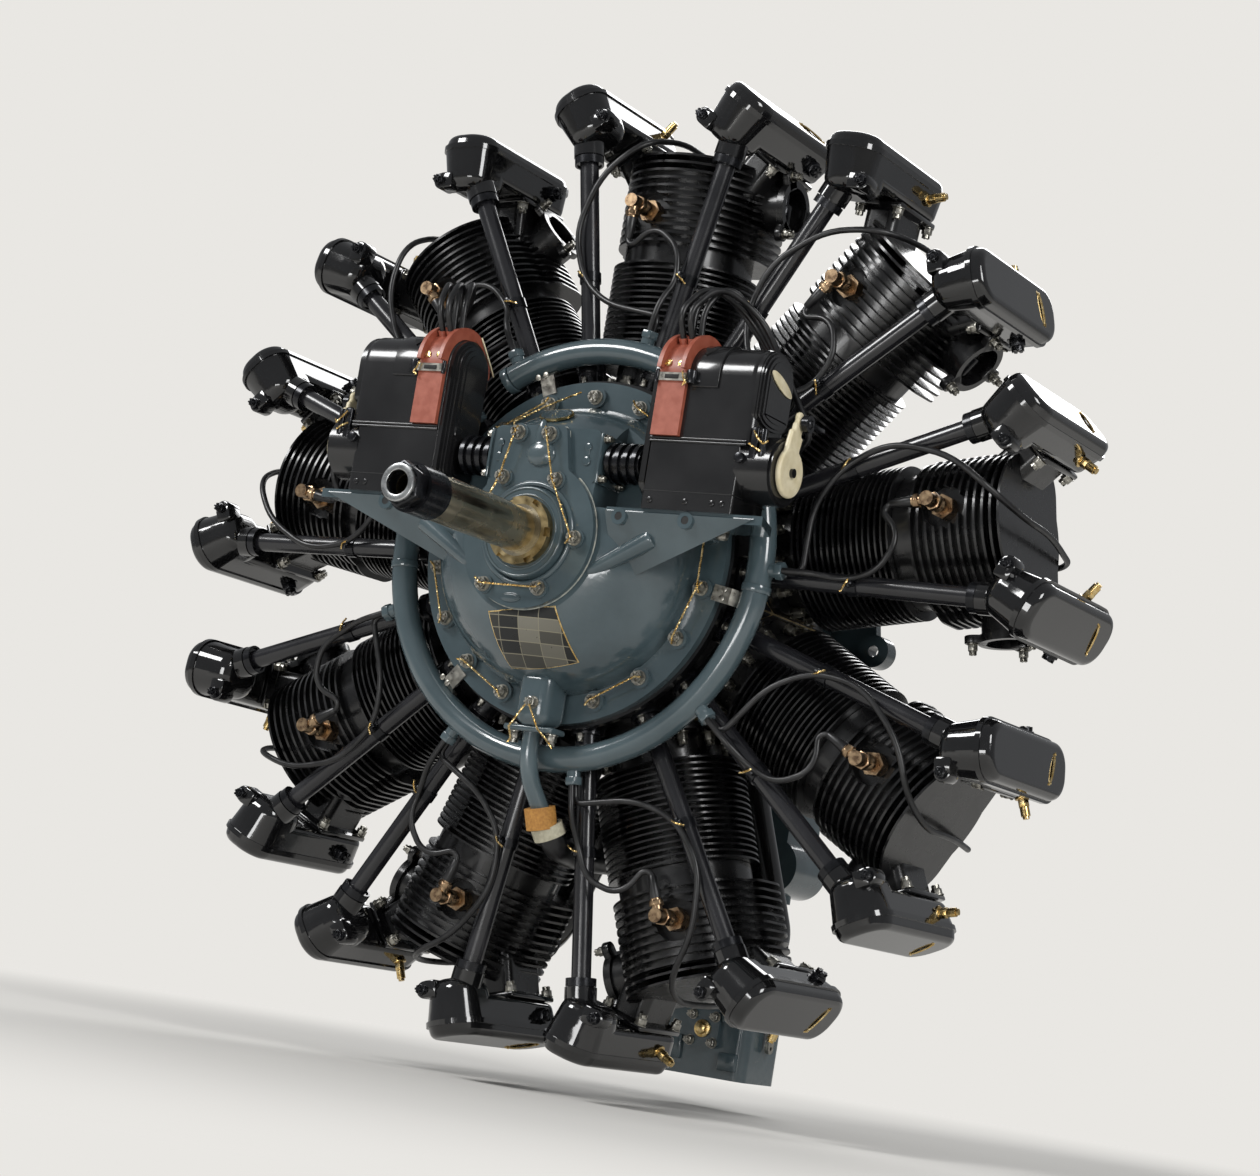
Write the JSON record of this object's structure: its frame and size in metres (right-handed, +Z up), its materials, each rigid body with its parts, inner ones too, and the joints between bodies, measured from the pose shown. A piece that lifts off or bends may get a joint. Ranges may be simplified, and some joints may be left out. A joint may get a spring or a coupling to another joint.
{
  "type": "radial aircraft engine",
  "caption": "Air-cooled single-row radial piston engine with direct-drive propeller shaft, front magnetos, enclosed rocker gear and a rear carburettor.",
  "frame": {"origin": "on the crankshaft axis in the plane of the rear mount face, 152 mm behind the plane of the cylinders", "axes": "+Z up through cylinder 1, the propeller end towards -Y, +X to the right seen from the propeller end"},
  "size_m": [1.1408, 0.922, 1.1239],
  "materials": {
    "case_black": "gloss",
    "cylinder_black": "gloss enamel",
    "head_black": "gloss enamel",
    "nose_grey": "gloss enamel",
    "steel_shaft": "ground, lightly tarnished",
    "steel_bright": "satin",
    "steel_black": "gloss",
    "magneto_black": "gloss",
    "block_red": "moulded, satin",
    "lever_cream": "satin",
    "rubber_black": "satin",
    "plug_bronze": "heat tinted"
  },
  "bodies": {
    "engine": {"cylinder_barrel_1": "cylinder_black", "cylinder_head_1": "head_black", "cylinder_barrel_2": "cylinder_black", "cylinder_head_2": "head_black", "cylinder_barrel_3": "cylinder_black", "cylinder_head_3": "head_black", "cylinder_barrel_4": "cylinder_black", "cylinder_head_4": "head_black", "cylinder_barrel_5": "cylinder_black", "cylinder_head_5": "head_black", "cylinder_barrel_6": "cylinder_black", "cylinder_head_6": "head_black", "cylinder_barrel_7": "cylinder_black", "cylinder_head_7": "head_black", "cylinder_barrel_8": "cylinder_black", "cylinder_head_8": "head_black", "cylinder_barrel_9": "cylinder_black", "cylinder_head_9": "head_black", "crankcase_front": "case_black", "crankcase_rear": "case_black", "cam_case": "case_black", "rocker_boxes": "case_black", "rocker_covers": "case_black", "intake_pipes": "case_black", "pushrod_tubes": "case_black", "induction_case": "case_black", "lead_clips": "case_black", "nose_case": "nose_grey", "nose_plate": "nose_grey", "rear_cover": "nose_grey", "intake_duct": "nose_grey", "oil_sump": "nose_grey", "carburettor_body": "nose_grey", "ignition_ring": "nose_grey", "ring_brackets": "nose_grey", "oil_pipe": "nose_grey", "nose_nuts": "steel_bright", "tappet_guides": "steel_bright", "main_bearings": "steel_bright", "magneto_straps": "steel_bright", "spark_plugs": "plug_bronze", "plug_elbows": "plug_bronze", "magneto_base_right": "magneto_black", "magneto_base_left": "magneto_black", "magneto_hoods": "magneto_black", "distributor_blocks": "block_red", "ignition_leads_front": "rubber_black", "ignition_leads_rear": "rubber_black", "magneto_leads": "rubber_black", "oil_hose": "rubber_black"},
    "crank": {"crankshaft": "steel_shaft", "thrust_nut": "steel_shaft", "shaft_end_nut": "steel_black"},
    "cam": {"cam_ring": "steel_bright"},
    "coupling_left": {"magneto_coupling_left": "rubber_black"},
    "coupling_right": {"magneto_coupling_right": "rubber_black"},
    "advance_left": {"advance_lever_left": "lever_cream"},
    "advance_right": {"advance_lever_right": "lever_cream"},
    "throttle": {"throttle_lever": "steel_bright"}
  },
  "joints": [
    {"name": "crank_spin", "type": "hinge", "parent": "engine", "child": "crank", "pos_m": [0, -0.152, 0], "axis": [0, 1, 0], "continuous": true},
    {"name": "cam_spin", "type": "hinge", "parent": "engine", "child": "cam", "pos_m": [0, -0.257, 0], "axis": [0, 1, 0], "continuous": true},
    {"name": "magneto_spin_left", "type": "hinge", "parent": "engine", "child": "coupling_left", "pos_m": [-0.096, -0.367, 0.09], "axis": [1, 0, 0], "continuous": true},
    {"name": "magneto_spin_right", "type": "hinge", "parent": "engine", "child": "coupling_right", "pos_m": [0.096, -0.367, 0.09], "axis": [1, 0, 0], "continuous": true},
    {"name": "advance_right", "type": "hinge", "parent": "engine", "child": "advance_right", "pos_m": [0.2938, -0.367, 0.09], "axis": [1, 0, 0], "range_deg": [-15, 15]},
    {"name": "advance_left", "type": "hinge", "parent": "engine", "child": "advance_left", "pos_m": [-0.2938, -0.367, 0.09], "axis": [1, 0, 0], "range_deg": [-15, 15]},
    {"name": "throttle_turn", "type": "hinge", "parent": "engine", "child": "throttle", "pos_m": [0, 0.2215, -0.478], "axis": [1, 0, 0], "range_deg": [0, 75]}
  ],
  "couplings": [
    {"joint": "cam_spin", "follows": "crank_spin", "ratio": -0.125},
    {"joint": "magneto_spin_left", "follows": "crank_spin", "ratio": 1.125},
    {"joint": "magneto_spin_right", "follows": "crank_spin", "ratio": 1.125},
    {"joint": "advance_left", "follows": "advance_right", "ratio": 1}
  ]
}
